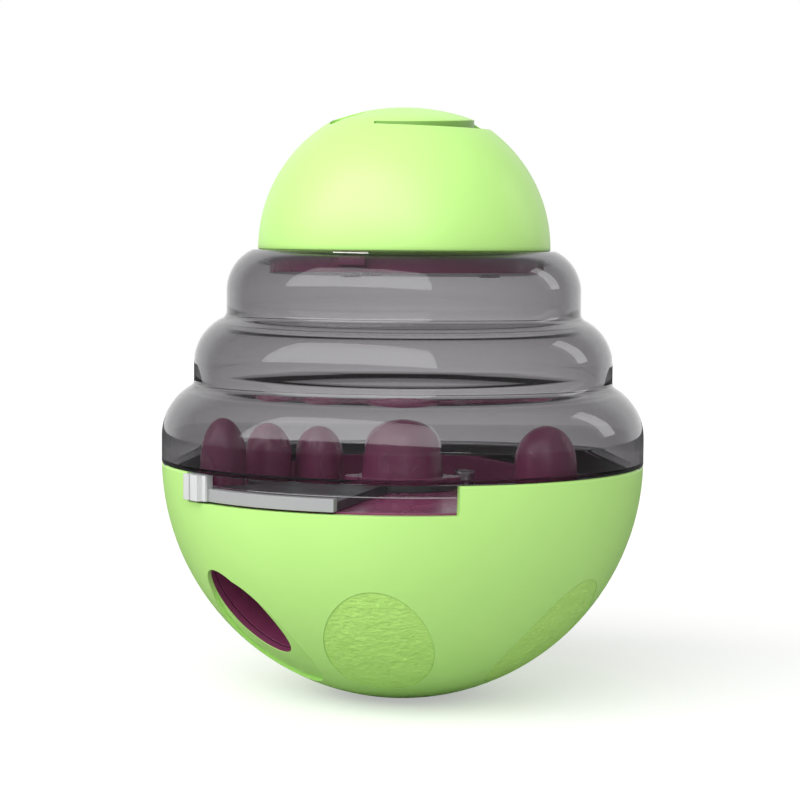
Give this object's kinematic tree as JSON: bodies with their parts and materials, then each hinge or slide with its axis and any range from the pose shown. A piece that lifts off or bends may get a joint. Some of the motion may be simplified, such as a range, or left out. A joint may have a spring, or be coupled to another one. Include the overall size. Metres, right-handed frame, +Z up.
{
  "type": "treat dispensing ball",
  "caption": "Ball-shaped tumbling treat dispenser: weighted lower bowl with an outlet, stepped clear cover, turning flow gate and domed filling cap.",
  "frame": {"origin": "centre of the flat foot, on the floor", "axes": "+Z up along the ball's own axis, -Y towards the front with the gate's window, +X to the right"},
  "size_m": [0.11, 0.11, 0.1341],
  "materials": {
    "green_shell": "satin",
    "green_grip": "matt, leather grain",
    "smoke_clear": "clear, smoke tint",
    "plum_plastic": "semi gloss",
    "grey_gate": "satin",
    "cast_weight": "as cast",
    "screw_steel": "bright zinc"
  },
  "bodies": {
    "bowl": {"bowl_shell": "green_shell", "grip_pad_front": "green_grip", "grip_pad_right": "green_grip", "grip_pad_rear_right": "green_grip", "grip_pad_rear": "green_grip", "grip_pad_rear_left": "green_grip", "counterweight": "cast_weight", "weight_cover": "plum_plastic", "weight_screws": "screw_steel", "outlet_chute": "plum_plastic", "treat_tray": "plum_plastic", "tray_screws": "screw_steel", "centre_post": "plum_plastic", "post_screw": "screw_steel"},
    "gate": {"flow_gate": "grey_gate"},
    "cover": {"smoke_cover": "smoke_clear"},
    "cap": {"top_cap": "green_shell", "cap_plug": "plum_plastic", "cap_screws": "screw_steel"}
  },
  "joints": [
    {"name": "gate_turn", "type": "hinge", "parent": "bowl", "child": "gate", "pos_m": [0, 0, 0.0486], "axis": [0, 0, 1], "range_deg": [0, 27.6]},
    {"name": "cover_lift", "type": "slide", "parent": "bowl", "child": "cover", "axis": [0, 0, 1], "range_m": [0, 0.06]},
    {"name": "cap_lift", "type": "slide", "parent": "cover", "child": "cap", "axis": [0, 0, 1], "range_m": [0, 0.06]}
  ]
}
